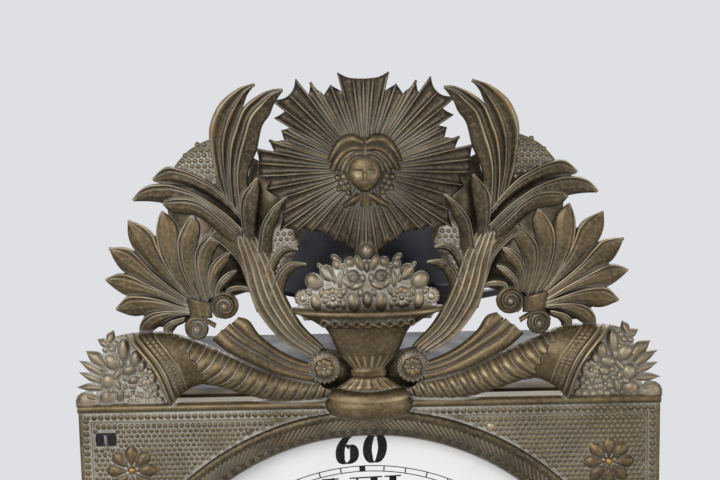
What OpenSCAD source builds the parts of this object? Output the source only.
// Wall-hung comtoise clock: an iron cage movement with a stamped brass front, a bell and a front pendulum.
// Millimetres. The origin is the centre of the hanging hole, on the wall. The front faces -Y and +Z is up.
// Depths are distances from the wall towards the front. Points [x, z] are measured from the dial centre.

/* [Brass front] */
// Width of the brass front
front_w = 260; // [256:1:290]
// Height of the brass front below the fronton
front_h = 262; // [258:1:290]
// Distance from the wall to the face of the brass front
front_d = 145; // [143:1:165]
// Thickness of the brass sheet
brass_t = 1; // [0.6:0.1:1.4]
// Depth of the folded edge of the brass front
fold_d = 7; // [4:0.5:9]
// Radius of the half-round moulding
moulding_r = 2.2; // [1.5:0.1:3]
// Space between the dial ring and the nearer edges of the brass front
ring_gap = 4; // [3:0.5:10]
// Width of the dial ring
ring_w = 13.5; // [12:0.5:17]
// How far the ring stands out from the brass front
ring_rise = 3; // [1:0.5:5]
// Height of the fronton above the brass front
fronton_h = 144; // [136:1:156]
// Height of the relief of the fronton
relief = 10; // [7:0.5:13]

/* [Dial] */
// Thickness of the enamelled dial
dial_t = 2; // [1.5:0.1:3]
// Rise of the dial's dome
dial_dome = 2.5; // [1:0.1:3]
// How far the dial reaches behind the ring
dial_lap = 5; // [3:0.5:8]
// Distance from the face of the brass front back to the back of the dial
dial_set = 15; // [13:0.5:17]
// Radius of the holes for the winding key
key_hole_r = 6.5; // [5.5:0.1:8]
// Length of the minute hand from its arbor
minute_hand_l = 92; // [70:1:96]
// Length of the hour hand from its arbor
hour_hand_l = 62; // [45:1:68]

/* [Iron cage] */
// How far the brass front overhangs the cage on each side
cage_gap = 5; // [4:0.5:8]
// Thickness of the top and bottom plates
plate_t = 3; // [2:0.5:5]
// Thickness of the sheet iron of the back and the doors
sheet_t = 1; // [0.6:0.1:1.6]
// Width of the square corner pillars
pillar_w = 8; // [6:0.5:10]
// Width of the upright movement bars
bar_w = 14; // [12:0.5:17]
// Thickness of the upright movement bars
bar_t = 4; // [3:0.5:5]
// Radius of the door hinge rods
hinge_r = 1.5; // [1:0.1:2]
// Radius of the hanging hole
hang_r = 6; // [4:0.5:8]
// Thickness of the hanging plate
hang_t = 3; // [2:0.5:5]

/* [Bell] */
// Radius of the bell's mouth
bell_r = 50; // [40:1:58]
// Height of the bell
bell_h = 48; // [38:1:54]
// Thickness of the bell's wall
bell_t = 2.5; // [1.5:0.1:4]
// Height of the bell's mouth above the top plate
bell_rise = 41; // [34:1:46]

/* [Trains] */
// Tooth module of the great and centre wheels
great_module = 1; // [0.9:0.02:1.04]
// Tooth module of the upper wheels
upper_module = 0.8; // [0.7:0.02:0.84]
// Thickness of the wheels
wheel_t = 2.5; // [2:0.1:3]
// Radius of the winding drums
drum_r = 24; // [18:0.5:26]
// Distance from the front of the cage back to the pendulum rod
pendulum_set = 14.5; // [13:0.5:16]

/* [Pendulum] */
// Length from the suspension to the middle of the bob
pendulum_l = 442; // [400:1:480]
// Radius of the bob
bob_r = 55; // [40:1:70]
// Thickness of the bob
bob_t = 18; // [14:1:26]
// Swing to each side in degrees
swing = 3.5; // [2:0.5:4]

/* [Hidden] */
$fn = 48;

// Finishes
brass = "#6b6047";
bright_brass = "#b58b45";
iron = "#4a4a4e";
steel = "#6a6c70";
enamel = "#e8e6e4";
bronze = "#26262b";

// Clearances
run_gap = 0.05;
free_gap = 0.3;

// Cage
hang_rise = 11;
cage_w = front_w - 2 * cage_gap;
cage_top = front_h / 2 - 2;
cage_inner = cage_top - plate_t;
hole_z = cage_top + hang_rise;
cage_back = hang_t;
dial_d = front_d - dial_set;
frame_t = 1.5;
cage_front = dial_d - frame_t;
rear_bar_d = cage_back + 11;
train_back = rear_bar_d + bar_t;
pendulum_d = cage_front - pendulum_set;
bar_face = pendulum_d - 22;
front_bar_d = bar_face - bar_t;
hinge_x = cage_w / 2 + hinge_r + 0.1;
hinge_d = cage_back + 6;
ear_r = hinge_r + 2;

// Ring and dial
ring_r = min(front_w, front_h) / 2 - ring_gap;
aperture_r = ring_r - ring_w;
dial_r = aperture_r + dial_lap;
dial_face = dial_d + dial_t;
dial_top_d = dial_face + dial_dome;
hour_hand_d = dial_top_d + 2;
hand_t = 1.2;
minute_hand_d = hour_hand_d + hand_t + 1.5;
pipe_hole_r = 7;

// Tooth counts
great_teeth = 96;
centre_teeth = 72;
third_teeth = 70;
escape_teeth = 30;
hoop_teeth = 64;
leaves = 8;
top_leaves = 7;
cannon_teeth = 12;
minute_teeth = 36;
minute_leaves = 10;
hour_teeth = 40;

function polar(r, a) = [r * cos(a), r * sin(a)];
function pitch_r(n, m) = n * m / 2;
function slope(p, q) = atan2(q.y - p.y, q.x - p.x);

// Places of the arbors
great_reach = pitch_r(great_teeth + leaves, great_module);
centre_reach = pitch_r(centre_teeth + leaves, great_module);
third_reach = pitch_r(third_teeth + top_leaves, upper_module);
hoop_reach = pitch_r(hoop_teeth + top_leaves, upper_module);
motion_reach = pitch_r(cannon_teeth + minute_teeth, great_module);
hour_module = 2 * motion_reach / (minute_leaves + hour_teeth);
centre_at = [0, 0];
going_great_at = polar(great_reach, 210);
third_at = polar(centre_reach, 120);
escape_at = [0, third_at.y + sqrt(third_reach ^ 2 - third_at.x ^ 2)];
escape_r = 20;
anchor_at = [0, escape_at.y + escape_r + 9];
minute_at = [motion_reach, 0];
strike_great_at = polar(great_reach, -30);
pin_at = strike_great_at + [0, great_reach];
hoop_at = pin_at + polar(centre_reach, 60);
fly_at = hoop_at + polar(hoop_reach, 129);
bell_set = 75;
bell_d = front_d - bell_set;

// Depths of the wheels, forward from the rear bars
pin_lane = train_back + 5.5;
going_great_lane = train_back + 11;
strike_great_lane = train_back + 19;
escape_lane = train_back + 20;
upper_lane = train_back + 31;
centre_lane = front_bar_d - 5.5;
cannon_lane = bar_face + 4;
hour_lane = cannon_lane + 10;
drum_front = front_bar_d - 10;
pinion_lap = 1;
arbor_r = 2;
pivot_r = 1;
key_arbor_r = 3.5;
ratchet_r = 17;
ratchet_teeth = 18;
ratchet_t = 2.5;
centre_arbor_r = 2.5;
cannon_r = 4;
hour_pipe_r = 6;
rod_w = 5;
rod_t = 3;
eye_r = hour_pipe_r + anchor_at.y * sin(swing) + 2.7;
slot_l = 2 * ((anchor_at.y + cage_top) * sin(swing) + rod_w / 2 + 4);

// Rotation of each wheel, so that a tooth stands in a gap on the line of centres
function mesh_phase(line, n_from, phase, n_to) = line + 180 - n_from / n_to * (phase - line) + 180 / n_to;
centre_phase = 0;
going_great_phase = mesh_phase(slope(centre_at, going_great_at), leaves, centre_phase, great_teeth);
third_phase = mesh_phase(slope(centre_at, third_at), centre_teeth, centre_phase, leaves);
escape_phase = mesh_phase(slope(third_at, escape_at), third_teeth, third_phase, top_leaves);
minute_phase = mesh_phase(0, cannon_teeth, centre_phase, minute_teeth);
hour_phase = mesh_phase(180, minute_leaves, minute_phase, hour_teeth);
pin_phase = 0;
strike_great_phase = mesh_phase(-90, leaves, pin_phase, great_teeth);
hoop_phase = mesh_phase(slope(pin_at, hoop_at), centre_teeth, pin_phase, leaves);
fly_phase = mesh_phase(slope(hoop_at, fly_at), hoop_teeth, hoop_phase, top_leaves);

// The hands rest at twenty-five past seven
minute_hand_angle = -60;
hour_hand_angle = -132.5;

// Moves from the dial centre to the hanging hole, and turns front-view shapes upright
module from_dial() { translate([0, 0, -hole_z]) children(); }
module at_depth(d) { from_dial() translate([0, -d, 0]) rotate([90, 0, 0]) children(); }
module slab(d, t) { at_depth(d) linear_extrude(t) children(); }
module shaft(p, d0, d1, r) { at_depth(d0) translate(p) cylinder(r = r, h = d1 - d0); }
module block(size, low) { from_dial() translate([low.x, -low.y - size.y, low.z]) cube(size); }

// A flat strap with round ends from p to q
module link(p, q, r) {
  translate(p) rotate(slope(p, q)) translate([0, -r]) square([norm(q - p), 2 * r]);
  translate(p) circle(r);
  translate(q) circle(r);
}

// Straight-flanked teeth, with their half-widths at the root and at the tip as shares of the pitch
module toothed(n, m, phase, above, below, root, tip) {
  r0 = pitch_r(n, m) - below * m;
  r1 = pitch_r(n, m) + above * m;
  step = 360 / n;
  rotate(phase) polygon([for (i = [0:n - 1]) for (k = [[r0, -root], [r1, -tip], [r1, tip], [r0, root]])
    polar(k[0], (i + k[1]) * step)]);
}
module wheel_teeth(n, m, phase) { toothed(n, m, phase, 0.9, 1.3, 0.25, 0.12); }
module pinion_teeth(n, m, phase) { toothed(n, m, phase, 0.6, 1.4, 0.22, 0.09); }

// The open space between hub, rim and spokes
module crossing(hub, rim, spokes, spoke_w) {
  difference() {
    circle(rim);
    circle(hub);
    for (i = [0:spokes - 1]) rotate(i * 360 / spokes) translate([0, -spoke_w / 2])
      square([rim + 1, spoke_w]);
  }
}
module crossed_wheel(n, m, phase, spokes) {
  difference() {
    wheel_teeth(n, m, phase);
    crossing(pitch_r(n, m) * 0.2 + 2, pitch_r(n, m) - 3.2 - 1.3 * m, spokes, 3);
  }
}

// Sub-parts of the brass front
module ring_profile() {
  polygon([[ring_r, front_d - brass_t], [ring_r, front_d + ring_rise - 1], [ring_r - 2, front_d + ring_rise],
    [ring_r - 4, front_d + ring_rise - 0.6], [aperture_r + 1, front_d - 3], [aperture_r, front_d - 5],
    [aperture_r, dial_face], [aperture_r + brass_t, dial_face], [aperture_r + brass_t, front_d - 5],
    [aperture_r + 2, front_d - 3 - brass_t], [ring_r - 4, front_d + ring_rise - 0.6 - brass_t],
    [ring_r - brass_t, front_d - brass_t]]);
}
post_x = front_w / 2 - 12;
post_z = front_h / 2 - 16.5;
post_r = 3;
post_hole_r = 1.1;
rivet_at = [54, front_h / 2 - 14];
rivet_r = 1.2;
module post_places() {
  for (x = [-1, 1]) for (z = [-1, 1]) translate([x * post_x, z * post_z]) children();
}
module rivet_places() {
  for (x = [-1, 1]) for (z = [-1, 1]) translate([x * rivet_at.x, z * rivet_at.y]) children();
}

module dial_surround() {
  color(brass) {
    slab(front_d - brass_t, brass_t) difference() {
      square([front_w, front_h], center = true);
      circle(ring_r - brass_t / 2, $fn = 96);
      post_places() circle(post_hole_r);
      rivet_places() circle(rivet_r);
    }
    slab(front_d - fold_d, fold_d - brass_t) difference() {
      square([front_w, front_h], center = true);
      square([front_w - 2 * brass_t, front_h - 2 * brass_t], center = true);
    }
    at_depth(0) rotate_extrude($fn = 96) ring_profile();
    from_dial() translate([-front_w / 2, -front_d, front_h / 2 - moulding_r]) rotate([0, 90, 0])
      linear_extrude(front_w) intersection() {
        circle(moulding_r);
        translate([-moulding_r, -moulding_r]) square([2 * moulding_r, moulding_r]);
      }
  }
}

module surround_posts() {
  color(bright_brass) slab(dial_d, front_d - brass_t - dial_d) post_places() difference() {
    circle(post_r);
    circle(post_hole_r);
  }
}

// A bent iron pin whose flat head lies on the upper left corner of the front
module split_pin() {
  pin_r = post_hole_r - run_gap;
  color(iron) {
    shaft([-post_x, post_z], dial_d + 2, front_d, pin_r);
    slab(front_d, 1.2) translate([-post_x, post_z]) difference() {
      square([9, 6], center = true);
      translate([0, -1.5]) square([1, 3.2], center = true);
    }
  }
}

module surround_rivets() {
  head_r = rivet_r + 1;
  color(brass) {
    slab(front_d - 3, 3) rivet_places() circle(rivet_r);
    at_depth(front_d) rivet_places() rotate_extrude()
      polygon([[0, 0], [head_r, 0], [head_r * 0.7, 0.9], [0, 1.3]]);
  }
}

module dial() {
  color(enamel) difference() {
    at_depth(dial_d) rotate_extrude($fn = 96) polygon([[pipe_hole_r, dial_dome],
      [dial_r * 0.5, dial_dome * 0.7], [aperture_r, 0], [dial_r, 0], [dial_r, dial_t],
      [aperture_r - 1, dial_t], [dial_r * 0.5, dial_t + dial_dome * 0.75], [pipe_hole_r, dial_t + dial_dome]]);
    for (p = [going_great_at, strike_great_at]) shaft(p, dial_d - 1, dial_top_d + 1, key_hole_r);
  }
}

frame_flange = 9;
module front_frame() {
  color(bright_brass) {
    slab(cage_front, frame_t) difference() {
      translate([-cage_w / 2, -cage_top]) square([cage_w, 2 * cage_top + frame_t]);
      circle(aperture_r - 2, $fn = 96);
    }
    block([cage_w, frame_flange + frame_t, frame_t], [-cage_w / 2, cage_front - frame_flange, cage_top]);
  }
}

// Sub-parts of the iron cage
module level(z, t) { from_dial() translate([0, 0, z]) linear_extrude(t) mirror([0, 1]) children(); }
module upright(p, z0, z1, r) { from_dial() translate([p.x, -p.y, z0]) cylinder(r = r, h = z1 - z0); }

module plate_outline() {
  difference() {
    union() {
      translate([-cage_w / 2, cage_back]) square([cage_w, cage_front - cage_back]);
      for (x = [-1, 1]) translate([x * hinge_x, hinge_d]) circle(ear_r);
    }
    for (x = [-1, 1]) translate([x * hinge_x, hinge_d]) circle(hinge_r + run_gap);
  }
}

hammer_r = 2.5;
hammer_pivot_r = 1.5;
hammer_swing_l = 85;
hammer_head_r = 4;
hammer_side = 50;
bell_mouth = cage_top + bell_rise;
bell_post_r = 4;
bell_screw_r = 2.5;
head_at = [0, bell_d] + (bell_r + hammer_head_r + 0.8) * [cos(hammer_side), sin(hammer_side)];
hammer_arbor = head_at + hammer_swing_l * [sin(hammer_side), -cos(hammer_side)];

module top_plate() {
  color(iron) level(cage_inner, plate_t) difference() {
    plate_outline();
    translate(hammer_arbor) circle(hammer_r + run_gap);
    translate([0, bell_d]) circle(bell_post_r);
  }
}

cord_slot = [18, 40];
slot_room = 5;
module bottom_plate() {
  color(iron) level(-cage_top, plate_t) difference() {
    plate_outline();
    translate(hammer_arbor) circle(hammer_pivot_r + run_gap);
    translate([-slot_l / 2, pendulum_d - slot_room]) square([slot_l, rod_t + 2 * slot_room]);
    for (x = [going_great_at.x - drum_r, strike_great_at.x + drum_r])
      translate([x - cord_slot.x / 2, drum_front - cord_slot.y]) square(cord_slot);
  }
}

module corner_pillars() {
  color(iron) for (x = [-cage_w / 2, cage_w / 2 - pillar_w])
    for (d = [cage_back + sheet_t, cage_front - pillar_w])
      block([pillar_w, pillar_w, 2 * cage_inner], [x, d, -cage_inner]);
}

module back_sheet() {
  color(iron) slab(cage_back, sheet_t) square([cage_w, 2 * cage_inner], center = true);
}

hang_w = 36;
hang_tail = 40;
module hanging_plate() {
  color(iron) slab(0, hang_t) difference() {
    union() {
      translate([0, hole_z]) circle(hang_w / 2);
      translate([-hang_w / 2, hole_z - hang_rise - hang_tail]) square([hang_w, hang_rise + hang_tail]);
    }
    translate([0, hole_z]) circle(hang_r);
  }
}

module wall_spurs() {
  color(iron) at_depth(0) for (x = [-1, 1]) translate([x * cage_w * 0.36, 12 - cage_inner])
    cylinder(r1 = 0.5, r2 = 4, h = hang_t);
}

module bell_post() {
  shoulder = bell_mouth + bell_h - bell_t - 0.2;
  color(iron) {
    upright([0, bell_d], cage_inner, shoulder, bell_post_r);
    upright([0, bell_d], cage_top, cage_top + 3, 2 * bell_post_r);
    upright([0, bell_d], shoulder, bell_mouth + bell_h + 5, bell_screw_r);
  }
}

// Points on a quarter ellipse from the mouth to the hole in the crown
function dome(r, h, hole) = [for (i = [0:9]) let (a = i / 9 * acos(hole / r)) [r * cos(a), h * sin(a)]];
module bell() {
  hole = bell_screw_r + run_gap;
  outer = dome(bell_r, bell_h, hole);
  inner = dome(bell_r - bell_t, bell_h - bell_t, hole);
  color(bronze) from_dial() translate([0, -bell_d, bell_mouth]) rotate_extrude($fn = 72)
    polygon(concat(outer, [for (i = [len(inner) - 1:-1:0]) inner[i]]));
}

module bell_nut() {
  bore = bell_screw_r + run_gap;
  color(iron) from_dial() translate([0, -bell_d, bell_mouth + bell_h]) rotate_extrude()
    polygon([[bore, 0], [7, 0], [7, 2.5], [5, 4.5], [bore, 4.5]]);
}

door_end = cage_front - 0.5;
module door(side) {
  upright([side * hinge_x, hinge_d], -cage_top, cage_top, hinge_r);
  block([sheet_t, door_end - hinge_d, 2 * cage_inner - 1],
    [side * hinge_x - sheet_t / 2, hinge_d, 0.5 - cage_inner]);
}
module door_knob(side) {
  from_dial() translate([side * (hinge_x + sheet_t / 2), 12 - door_end, 0]) rotate([0, side * 90, 0])
    rotate_extrude() polygon([[0, 0], [2.2, 0], [1.6, 2], [3, 3.5], [3, 5], [2, 6], [0, 6.2]]);
}
module left_door() { color(iron) door(-1); }
module right_door() { color(iron) door(1); }
module left_door_knob() { color(bright_brass) door_knob(-1); }
module right_door_knob() { color(bright_brass) door_knob(1); }

// Upright bars that carry the trains
module strap(x) { translate([x - bar_w / 2, -cage_inner]) square([bar_w, 2 * cage_inner]); }
module going_bar_outline() {
  strap(0);
  strap(going_great_at.x);
  link(going_great_at, centre_at, bar_w / 2);
  link(third_at, [0, third_at.y], bar_w / 2);
}
module strike_bar_outline() {
  strap(pin_at.x);
  link([pin_at.x, hoop_at.y], hoop_at, bar_w / 2);
  link([pin_at.x, fly_at.y], fly_at, bar_w / 2);
}
module pivot_holes(places, r) { for (p = places) translate(p) circle(r + run_gap); }

stud_r = 2;
rear_key_r = 2.2;
fine_arbor_r = 1.4;
module going_front_bar() {
  color(iron) {
    slab(front_bar_d, bar_t) difference() {
      union() {
        going_bar_outline();
        link(centre_at, minute_at, bar_w / 2);
      }
      pivot_holes([going_great_at], key_arbor_r);
      pivot_holes([centre_at], centre_arbor_r);
      pivot_holes([third_at, escape_at], pivot_r);
      pivot_holes([anchor_at], arbor_r);
    }
    shaft(minute_at, bar_face, hour_lane + wheel_t + 1, stud_r);
  }
}
module going_rear_bar() {
  color(iron) slab(rear_bar_d, bar_t) difference() {
    going_bar_outline();
    pivot_holes([going_great_at], rear_key_r);
    pivot_holes([centre_at, third_at, escape_at, anchor_at], pivot_r);
  }
}
module strike_front_bar() {
  color(iron) slab(front_bar_d, bar_t) difference() {
    strike_bar_outline();
    pivot_holes([strike_great_at], key_arbor_r);
    pivot_holes([pin_at, hoop_at, fly_at], pivot_r);
  }
}
module strike_rear_bar() {
  color(iron) slab(rear_bar_d, bar_t) difference() {
    strike_bar_outline();
    pivot_holes([strike_great_at], rear_key_r);
    pivot_holes([pin_at, hoop_at, fly_at], pivot_r);
  }
}

// Going train
module great_wheel(p, lane, phase) {
  slab(lane, wheel_t) translate(p) difference() {
    crossed_wheel(great_teeth, great_module, phase, 5);
    circle(key_arbor_r + run_gap);
  }
}
module going_great_wheel() {
  color(bright_brass) great_wheel(going_great_at, going_great_lane, going_great_phase);
}

// A click on a spoke of the great wheel, with its nose clear of the ratchet's tips
module click(p, lane) {
  pivot = [ratchet_r + 9, 0];
  nose = polar(ratchet_r + 2.2, 24);
  slab(lane + wheel_t, ratchet_t - free_gap) translate(p) {
    link(pivot, nose, 1.6);
    translate(pivot) circle(3);
  }
}
module going_click() { color(steel) click(going_great_at, going_great_lane); }

square_w = 4.8;
module drum(p, lane) {
  back = lane + wheel_t + free_gap;
  flange = 2;
  square_d = bar_face + 6;
  step = 360 / ratchet_teeth;
  slab(back, ratchet_t) translate(p) polygon([for (i = [0:ratchet_teeth - 1])
    for (k = [[ratchet_r, 0], [ratchet_r - 2.5, 0.9]]) polar(k[0], (i + k[1]) * step)]);
  shaft(p, back + ratchet_t, drum_front, drum_r);
  for (d = [back + ratchet_t, drum_front - flange]) shaft(p, d, d + flange, drum_r + 3);
  shaft(p, rear_bar_d, train_back + free_gap, rear_key_r);
  shaft(p, train_back + free_gap, square_d, key_arbor_r);
  slab(square_d, dial_d - 2 - square_d) translate(p) square(square_w, center = true);
}
module going_drum() { color(steel) drum(going_great_at, going_great_lane); }

module pinion(p, lane, n, m, phase) {
  slab(lane - pinion_lap, wheel_t + 2 * pinion_lap) translate(p) pinion_teeth(n, m, phase);
}
// An arbor between the two bars, with a thin pivot at each end
module pivoted_arbor(p, r) {
  shaft(p, train_back + free_gap, front_bar_d - free_gap, r);
  shaft(p, rear_bar_d, bar_face, pivot_r);
}

module centre_wheel() {
  color(bright_brass) {
    shaft(centre_at, train_back + free_gap, front_bar_d - free_gap, arbor_r);
    shaft(centre_at, rear_bar_d, train_back + free_gap, pivot_r);
    shaft(centre_at, front_bar_d - free_gap, minute_hand_d + hand_t + 3, centre_arbor_r);
    slab(centre_lane, wheel_t) crossed_wheel(centre_teeth, great_module, centre_phase, 5);
    pinion(centre_at, going_great_lane, leaves, great_module, centre_phase);
  }
}
module third_wheel() {
  color(bright_brass) {
    pivoted_arbor(third_at, arbor_r);
    slab(upper_lane, wheel_t) translate(third_at) crossed_wheel(third_teeth, upper_module, third_phase, 5);
    pinion(third_at, centre_lane, leaves, great_module, third_phase);
  }
}

// Thirty pointed teeth that lean forward
module escape_teeth_outline() {
  step = 360 / escape_teeth;
  root_r = escape_r - 4.5;
  polygon([for (i = [0:escape_teeth - 1]) for (k = [[escape_r, 0], [root_r, 0.1], [root_r, 0.55]])
    polar(k[0], (i + k[1]) * step)]);
}
module escape_wheel() {
  color(bright_brass) {
    pivoted_arbor(escape_at, fine_arbor_r);
    slab(escape_lane, 2) translate(escape_at) difference() {
      escape_teeth_outline();
      crossing(4, escape_r - 7, 4, 2);
    }
    pinion(escape_at, upper_lane, top_leaves, upper_module, escape_phase);
  }
}

// The anchor's arch spans the escape wheel, and stays clear of its tips over the whole swing
crutch_d = bar_face + 10;
crutch_z = anchor_at.y - 47;
module anchor() {
  arch_r = escape_r + 27 * sin(swing) + 0.75;
  prong = 1.6;
  fork_w = rod_w / 2 + free_gap;
  color(steel) {
    slab(escape_lane - 0.5, 3) {
      intersection() {
        translate(escape_at) difference() {
          circle(arch_r + 3);
          circle(arch_r);
        }
        translate(escape_at) polygon([[0, 0], polar(50, 36), polar(50, 144)]);
      }
      translate(anchor_at) circle(6.6);
    }
    shaft(anchor_at, train_back + free_gap, crutch_d + 2, arbor_r);
    shaft(anchor_at, rear_bar_d, train_back + free_gap, pivot_r);
    slab(crutch_d, 2) {
      link(anchor_at, [0, crutch_z], 2.5);
      translate([0, crutch_z]) square([2 * (fork_w + prong), 5], center = true);
    }
    for (x = [-fork_w - prong, fork_w])
      block([prong, pendulum_d + rod_t + 1 - crutch_d, 5], [x, crutch_d, crutch_z - 2.5]);
  }
}

// Pendulum
spring_t = 0.3;
spring_w = 6;
spring_top = anchor_at.y + 5;
rod_top = anchor_at.y - 14;
bob_z = anchor_at.y - pendulum_l;
rod_mid = pendulum_d + rod_t / 2;
module suspension_cock() {
  slot = 1.6;
  color(iron) difference() {
    block([12, pendulum_d + rod_t + 3 - bar_face, 7], [-6, bar_face, anchor_at.y + 3.5]);
    block([slot, spring_w + 2, 4], [-slot / 2, rod_mid - spring_w / 2 - 1, anchor_at.y + 3]);
  }
}
module suspension_spring() {
  color(steel) block([spring_t, spring_w, spring_top - rod_top + 4],
    [-spring_t / 2, rod_mid - spring_w / 2, rod_top - 4]);
}
nut_seat = bob_z - bob_r;
thread_r = 1.5;
module pendulum_rod() {
  slot = spring_t + 2 * run_gap;
  color(steel) {
    difference() {
      slab(pendulum_d, rod_t) difference() {
        union() {
          translate([-rod_w / 2, nut_seat + 4]) square([rod_w, rod_top - nut_seat - 4]);
          circle(eye_r + 4);
        }
        circle(eye_r);
      }
      block([slot, rod_t + 2, 5], [-slot / 2, pendulum_d - 1, rod_top - 4]);
    }
    upright([0, rod_mid], nut_seat - 12, nut_seat + 4, thread_r);
  }
}
module pendulum_bob() {
  edge = 1.2;
  lens = [for (i = [0:8]) let (r = bob_r * i / 8) [r, edge + (bob_t / 2 - edge) * (1 - (i / 8) ^ 2)]];
  slot = [rod_w + 2 * run_gap, rod_t + 2 * run_gap];
  color(bright_brass) difference() {
    at_depth(rod_mid) translate([0, bob_z]) rotate_extrude($fn = 72)
      polygon(concat(lens, [for (i = [8:-1:0]) [lens[i].x, -lens[i].y]]));
    block([slot.x, slot.y, 2 * bob_r], [-slot.x / 2, rod_mid - slot.y / 2, bob_z - bob_r + 4]);
    upright([0, rod_mid], bob_z - bob_r - 1, bob_z, thread_r + run_gap);
  }
}
module rating_nut() {
  bore = thread_r + run_gap;
  color(bright_brass) from_dial() translate([0, -rod_mid, nut_seat - 5]) rotate_extrude()
    polygon([[bore, 0], [5, 0], [6, 1], [6, 4], [5, 5], [bore, 5]]);
}

// Motion work and hands
cannon_step = cannon_r - 1;
hour_step = hour_pipe_r - 1;
module cannon_pinion() {
  color(bright_brass) difference() {
    union() {
      slab(cannon_lane, 4) toothed(cannon_teeth, great_module, centre_phase, 0.6, 1.4, 0.22, 0.09);
      shaft(centre_at, bar_face + free_gap, minute_hand_d, cannon_r);
      shaft(centre_at, minute_hand_d, minute_hand_d + hand_t, cannon_step);
    }
    shaft(centre_at, bar_face, minute_hand_d + hand_t + 1, centre_arbor_r + run_gap);
  }
}
module minute_wheel() {
  color(bright_brass) difference() {
    union() {
      slab(cannon_lane + 0.75, wheel_t) translate(minute_at)
        wheel_teeth(minute_teeth, great_module, minute_phase);
      shaft(minute_at, bar_face + free_gap, hour_lane, stud_r + 1.2);
      slab(hour_lane - 0.5, wheel_t + 1) translate(minute_at)
        pinion_teeth(minute_leaves, hour_module, minute_phase);
    }
    shaft(minute_at, bar_face, hour_lane + wheel_t + 2, stud_r + run_gap);
  }
}
module hour_wheel() {
  color(bright_brass) difference() {
    union() {
      slab(hour_lane, wheel_t) crossed_wheel(hour_teeth, hour_module, hour_phase, 4);
      shaft(centre_at, hour_lane, hour_hand_d, hour_pipe_r);
      shaft(centre_at, hour_hand_d, hour_hand_d + hand_t, hour_step);
    }
    shaft(centre_at, hour_lane - 1, hour_hand_d + hand_t + 1, cannon_r + run_gap);
  }
}

// A pierced hand: hub, stem, ring and leaf-shaped point
module hand_outline(hub, hole, l, ring) {
  difference() {
    union() {
      circle(hub);
      polygon([[0, -2.4], [l * 0.7, -1.2], [l, 0], [l * 0.7, 1.2], [0, 2.4]]);
      translate([l * 0.7, 0]) circle(ring);
      translate([l * 0.7, 0]) polygon([[0, -ring], [ring * 2, 0], [0, ring]]);
    }
    circle(hole + run_gap);
    translate([l * 0.7 - ring * 0.15, 0]) circle(ring * 0.6);
  }
}
module hour_hand() {
  color(bright_brass) slab(hour_hand_d, hand_t) rotate(hour_hand_angle)
    hand_outline(8.5, hour_step, hour_hand_l, 7);
}
module minute_hand() {
  color(bright_brass) slab(minute_hand_d, hand_t) rotate(minute_hand_angle)
    hand_outline(6.5, cannon_step, minute_hand_l, 6);
}
module hand_nut() {
  bore = centre_arbor_r + run_gap;
  color(bright_brass) at_depth(minute_hand_d + hand_t) rotate_extrude()
    polygon([[bore, 0], [4.6, 0], [4.6, 1.4], [3.6, 2.4], [bore, 2.4]]);
}

// Strike train
module strike_great_wheel() {
  color(bright_brass) great_wheel(strike_great_at, strike_great_lane, strike_great_phase);
}
module strike_click() { color(steel) click(strike_great_at, strike_great_lane); }
module strike_drum() { color(steel) drum(strike_great_at, strike_great_lane); }
lift_pins = 8;
module pin_wheel() {
  pin_l = 4;
  pin_ring = pitch_r(centre_teeth, great_module) - 3;
  color(bright_brass) {
    pivoted_arbor(pin_at, arbor_r);
    slab(pin_lane, wheel_t) translate(pin_at) crossed_wheel(centre_teeth, great_module, pin_phase, 5);
    pinion(pin_at, strike_great_lane, leaves, great_module, pin_phase);
    for (i = [0:lift_pins - 1])
      shaft(pin_at + polar(pin_ring, i * 360 / lift_pins), pin_lane - pin_l, pin_lane, 1.2);
  }
}
module hoop_wheel() {
  color(bright_brass) {
    pivoted_arbor(hoop_at, arbor_r);
    slab(upper_lane, wheel_t) translate(hoop_at) crossed_wheel(hoop_teeth, upper_module, hoop_phase, 4);
    pinion(hoop_at, pin_lane, leaves, great_module, hoop_phase);
  }
}
module strike_fly() {
  vane = [34, 0.5];
  vane_d = upper_lane + 7;
  vane_l = front_bar_d - 8 - vane_d;
  color(bright_brass) {
    pivoted_arbor(fly_at, fine_arbor_r);
    pinion(fly_at, upper_lane, top_leaves, upper_module, fly_phase);
    slab(vane_d, vane_l) translate(fly_at) {
      rotate(20) square(vane, center = true);
      circle(fine_arbor_r + 1);
    }
  }
}

hammer_arm_z = bell_mouth - 4;
hammer_tail = [-12, -26];
tail_at = hammer_arbor + hammer_tail;
module hammer() {
  arm_t = 3;
  color(iron) {
    upright(hammer_arbor, free_gap - cage_inner, hammer_arm_z + arm_t, hammer_r);
    upright(hammer_arbor, -cage_top, free_gap - cage_inner, hammer_pivot_r);
    level(hammer_arm_z, arm_t) link(hammer_arbor, head_at, 1.8);
    upright(head_at, hammer_arm_z, hammer_arm_z + 10, hammer_head_r);
    level(pin_at.y - arm_t / 2, arm_t) link(hammer_arbor, tail_at, 1.8);
  }
}

// Fronton: one stamped sheet of leaves, sun, vase and horns, drawn on a front 260 wide and 144 tall
fronton_back = front_d - 3;
drawing = [260, 144];
sheet_edge = 1.4;
// Each piece lies a little higher than the one before it, and its back is cut off level with the sheet's
layer = 0.07;
under = 1;
function bezier(p, t) = len(p) == 1 ? p[0]
  : bezier([for (i = [0:len(p) - 2]) p[i] * (1 - t) + p[i + 1] * t], t);
function across(p, t) = let (d = bezier(p, min(1, t + 0.02)) - bezier(p, max(0, t - 0.02)))
  [-d.y, d.x] / norm(d);
function swell(t, root) = 0.03
  + (t < 0.55 ? root + (1 - root) * sin(t / 0.55 * 90) : cos((t - 0.55) / 0.45 * 86));

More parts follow.
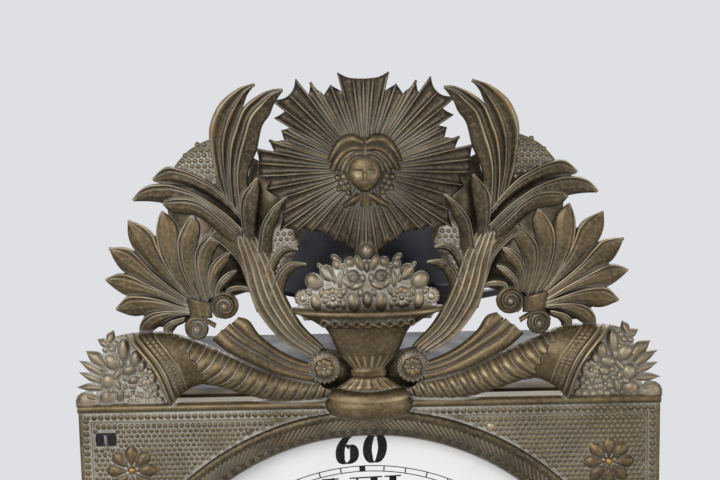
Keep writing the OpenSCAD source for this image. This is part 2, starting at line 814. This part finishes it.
// Joins a list of closed rings of equal length into one solid
module skin(rings) {
  n = len(rings[0]);
  m = len(rings) - 1;
  polyhedron([for (ring = rings) each ring], concat(
    [[for (k = [0:n - 1]) k]],
    [for (i = [0:m - 1]) for (k = [0:n - 1]) each [
      [i * n + k, (i + 1) * n + k, (i + 1) * n + (k + 1) % n],
      [i * n + k, (i + 1) * n + (k + 1) % n, i * n + (k + 1) % n]]],
    [[for (k = [n - 1:-1:0]) m * n + k]]));
}

// A leaf along a curve from its root to its tip, with a hollow along the midrib, laid on as many layers
module leaf(path, w, rise, root = 0.4, n = 5, layers = 0) {
  edge = sheet_edge + layers * layer;
  section = [[1, -under], [1, edge], [0.5, edge, 0.85], [0, edge, 0.45], [-0.5, edge, 0.85], [-1, edge],
    [-1, -under]];
  skin([for (i = [0:n]) let (t = i / n, s = swell(t, root), p = bezier(path, t), side = across(path, t))
    [for (k = section) [p.x + side.x * w * s * k[0], p.y + side.y * w * s * k[0],
      k[1] + (len(k) > 2 ? k[2] * rise * s : 0)]]]);
}

// A horn with twisted ribs, from a thin end to a banded mouth
module horn(path, r0, r1) {
  steps = 10;
  skin([for (i = [0:steps]) let (t = i / steps, r = r0 + (r1 - r0) * t ^ 1.4 + (t > 0.88 ? 1.6 : 0),
      p = bezier(path, t), side = across(path, t), rib = t > 0.8 ? 0 : 0.09)
    concat([[p.x + side.x * r, p.y + side.y * r, -under]],
      [for (k = [0:10]) let (a = k * 18, q = r * (1 + rib * cos(7 * a + 700 * t)))
        [p.x + side.x * q * cos(a), p.y + side.y * q * cos(a), sheet_edge - layer / 2 + 0.55 * q * sin(a)]],
      [[p.x - side.x * r, p.y - side.y * r, -under]])]);
}

sun_at = [0, 102];
sun_rays = [[3.5, 37.6], [14.2, 41.9], [21.8, 37.8], [29.6, 44.6], [37, 47], [42.9, 38.1], [50.8, 47.1],
  [60.1, 44.6], [65.2, 39.2], [71.7, 40.2], [78.7, 47.7], [86.8, 46.1], [96.7, 45.8], [105.8, 45.7],
  [113.3, 44.1], [124.4, 45.9], [132.5, 41.2], [143.7, 35], [152.3, 32.7], [166.2, 30.6],
  [176.4, 36.4]];
module sun() {
  translate(sun_at) {
    translate([0, 0, -under]) cylinder(r = 26.3, h = sheet_edge, $fn = 28);
    translate([0, 0, -under]) cylinder(r = 17, h = 0.4 * relief + under, $fn = 26);
    for (side = [-1, 1]) for (ray = sun_rays) rotate(-side * ray[0]) translate([0, 0, -under]) hull() {
      translate([0, 12, 0]) cylinder(r1 = 1.6, r2 = 0, h = 0.35 * relief + under, $fn = 4);
      translate([0, ray[1] - 5, 0]) cylinder(r1 = 3.2, r2 = 0, h = 0.25 * relief + under, $fn = 4);
      translate([0, ray[1] - 0.5, 0]) cylinder(r = 0.5, h = sheet_edge + under, $fn = 3);
    }
    scale([0.85, 1.1, 0.95]) sphere(8, $fn = 10);
    for (side = [0, 1]) mirror([side, 0]) {
      leaf([[0.7, 14], [14, 15], [17, 3], [13, -7]], 4.5, 0.45 * relief, layers = 3);
      leaf([[1, -8], [7, -12], [14, -13]], 2.6, 0.25 * relief, 0.4, 3, 5);
    }
  }
}

// One frond of acanthus with the fan of petals under it
fan_at = [78, 44.5];
fan_tips = [[88.5, 87.4], [102.9, 81.9], [112.9, 69.4], [113.3, 56.7], [110, 43.2], [98, 32.4]];
curl_tips = [[74.9, 84.7], [64.3, 77.8], [59.7, 67.6], [57.3, 59]];
frond_leaves = [
  [[[55.2, 65.6], [71.8, 97.8], [66, 133.8], [47.7, 139.2]], 10],
  [[[49.8, 65.9], [58.4, 97.1], [54.1, 123.9], [35.8, 136]], 7.6],
  [[[55.6, 68.8], [66.1, 90.9], [80.3, 106.4], [93.2, 98.1]], 7.4],
  [[[55.7, 63.9], [68, 85.2], [84.2, 96.4], [98.4, 91.2]], 5.4],
  [[[55, 60], [65.8, 79.2], [76.5, 89.4], [87.7, 86.8]], 3.9],
  [[[43.3, 44.3], [48.8, 62.4], [39.9, 74.5], [26.9, 66.7]], 5.8],
  [[[48.4, 56], [41.4, 76.1], [45.5, 93.2], [38, 97.6]], 4.1],
  [[[55.6, 39.7], [42, 30.7], [31.8, 22], [24.1, 14.9]], 3.2],
  [[[69.8, 30.4], [52.7, 22.1], [38.2, 13.7], [23.4, 10.8]], 4]];
// Plain sheet that closes the gaps between the leaves
frond_ground = [[56, 66], [58, 54], [64, 48], [70, 40.5], [78, 37], [86, 33.5], [92.5, 34], [97.2, 37],
  [100.8, 40.6], [104.2, 44.4], [105.8, 49], [108, 54], [106.8, 59.4], [106.2, 63.6], [102.2, 68.4],
  [97, 72.8], [92.8, 74.6], [90.6, 78.4], [86.6, 83], [86.8, 88.6], [92.4, 94.4], [88.6, 98.6], [80, 100.6],
  [70, 98.2], [62, 94.6], [57, 90.2], [54.4, 84], [51.6, 76]];
sun_ground = [[49, 108.6], [40, 104], [30, 96], [27, 84], [29, 71], [34.6, 61.4], [40.4, 57.6], [46.2, 66.4],
  [51.2, 78.6], [53, 92]];
rosette_ground = [[6, 3], [27, 5.4], [27.6, 16], [20.4, 23], [13.6, 21.4], [6, 16]];
ground_t = 0.7;
module frond() {
  petals = concat(fan_tips, curl_tips);
  for (outline = [frond_ground, sun_ground, rosette_ground])
    translate([0, 0, -under]) linear_extrude(ground_t + under) polygon(outline);
  leaf([[20, 14], [42, 32], [56, 50], [54, 78]], 5.5, 0.5 * relief, 0.9);
  for (i = [0:len(frond_leaves) - 1])
    leaf(frond_leaves[i][0], frond_leaves[i][1], 0.5 * relief, layers = i + 1);
  for (i = [0:len(petals) - 1]) let (d = petals[i] - fan_at, bend = [-d.y, d.x] * 0.12)
    leaf([fan_at + d * 0.1, fan_at + d * 0.4 + bend, fan_at + d * 0.8 + bend, petals[i]],
      5, 0.4 * relief, 0.3, 4, i - 7.5);
  translate([68, 103, -under]) cylinder(r = 12.5, h = sheet_edge, $fn = 24);
  for (roll = [[[62.5, 44.5], 6.4], [[75, 33.5], 5.6]]) translate([roll[0].x, roll[0].y, -under]) {
    cylinder(r = roll[1], h = 0.4 * relief + under, $fn = 16);
    cylinder(r1 = roll[1] * 0.6, r2 = roll[1] * 0.4, h = 0.6 * relief + under, $fn = 12);
  }
}

// A horn of plenty with its fruit and flowers
fruit_at = [99, 13];
fruit_leaves = [[113.4, 35.2], [120, 31.2], [125, 25.8], [128.8, 21], [129.7, 16.6], [130.2, 11.1],
  [129, 5.8], [130.4, 0.8]];
fruits = [[104.6, 23.1, 4.2], [112.6, 23.8, 2.8], [118.6, 20.7, 4.1], [108.3, 15.8, 5],
  [116.9, 12.1, 4.2], [121.9, 6.1, 2.7], [106.1, 6.4, 5.4], [112.3, 3.7, 3.3]];
module plenty() {
  horn([[18, 8], [50, -5], [70, 31], [98, 15]], 5.5, 17.5);
  translate([20, 14.5, -under]) {
    cylinder(r = 7, h = 0.5 * relief + under, $fn = 16);
    cylinder(r1 = 4, r2 = 2.5, h = 0.75 * relief + under, $fn = 12);
  }
  for (i = [0:len(fruit_leaves) - 1]) let (tip = fruit_leaves[i])
    leaf([fruit_at * 0.75 + tip * 0.25, fruit_at * 0.4 + tip * 0.6, tip], 3.4, 0.3 * relief, 0.6, 2, i - 3.3);
  for (fruit = fruits) translate([fruit[0], fruit[1], sheet_edge]) scale([1, 1, 1.2])
    sphere(fruit[2], $fn = 6);
}

// The vase and its bunch of flowers
foot_profile = [[0, -8.6], [18.9, -7.6], [20.3, -4.2], [19.7, 2.8], [17.7, 4.9], [0, 5]];
vase_profile = [[0, 3.7], [13.9, 5.1], [8.1, 9.8], [7.9, 14], [9.4, 15.2], [12.3, 19.7], [15.5, 24],
  [20.1, 31.1], [27.9, 36.3], [34.4, 40.8], [33.4, 44.1], [0, 44.5]];
blooms = [[0, 65.2, 4.5], [6.3, 57.2, 4.9], [15.6, 45.8, 4.9], [17.1, 57.7, 3.8], [22.8, 53.9, 4],
  [28.2, 47, 3.6], [0, 48.1, 3.2]];
foot_rise = 4;
module vase() {
  scale([1, 1, 0.5]) rotate([-90, 0, 0]) rotate_extrude($fn = 24) polygon(vase_profile);
  translate([0, 0, foot_rise]) scale([1, 1, 0.4]) rotate([-90, 0, 0]) rotate_extrude($fn = 20)
    polygon(foot_profile);
  hull() {
    for (x = [-26, 26]) translate([x, 45, 2]) sphere(4, $fn = 8);
    for (x = [-14, 14]) translate([x, 57, 3]) sphere(4, $fn = 8);
    translate([0, 63, 3]) sphere(5, $fn = 8);
  }
  for (side = [-1, 1]) for (bloom = blooms) translate([side * bloom[0], bloom[1], 5])
    sphere(bloom[2], $fn = 6);
  for (side = [0, 1]) mirror([side, 0]) leaf([[10, 54], [14, 60], [16, 66]], 3, 2, 0.4, 3);
}

module fronton() {
  lap = front_d + max(moulding_r, ring_rise) + run_gap - fronton_back;
  color(brass) at_depth(fronton_back) translate([0, front_h / 2]) difference() {
    scale([front_w / drawing.x, fronton_h / drawing.y, 1]) {
      sun();
      vase();
      for (side = [0, 1]) mirror([side, 0]) {
        frond();
        plenty();
      }
    }
    translate([-front_w, -fronton_h, -relief * 2]) cube([2 * front_w, fronton_h, relief * 2 + lap]);
    translate([-front_w, -fronton_h, -relief * 2]) cube([2 * front_w, 4 * fronton_h, relief * 2]);
  }
}

fronton();
dial_surround();
surround_posts();
split_pin();
surround_rivets();
dial();
front_frame();
top_plate();
bottom_plate();
corner_pillars();
back_sheet();
hanging_plate();
wall_spurs();
bell_post();
bell();
bell_nut();
going_front_bar();
going_rear_bar();
strike_front_bar();
strike_rear_bar();
suspension_cock();
suspension_spring();
pendulum_rod();
pendulum_bob();
rating_nut();
anchor();
escape_wheel();
third_wheel();
centre_wheel();
cannon_pinion();
minute_wheel();
hour_wheel();
hour_hand();
minute_hand();
hand_nut();
going_great_wheel();
going_click();
going_drum();
strike_great_wheel();
strike_click();
strike_drum();
pin_wheel();
hoop_wheel();
strike_fly();
hammer();
left_door();
right_door();
left_door_knob();
right_door_knob();
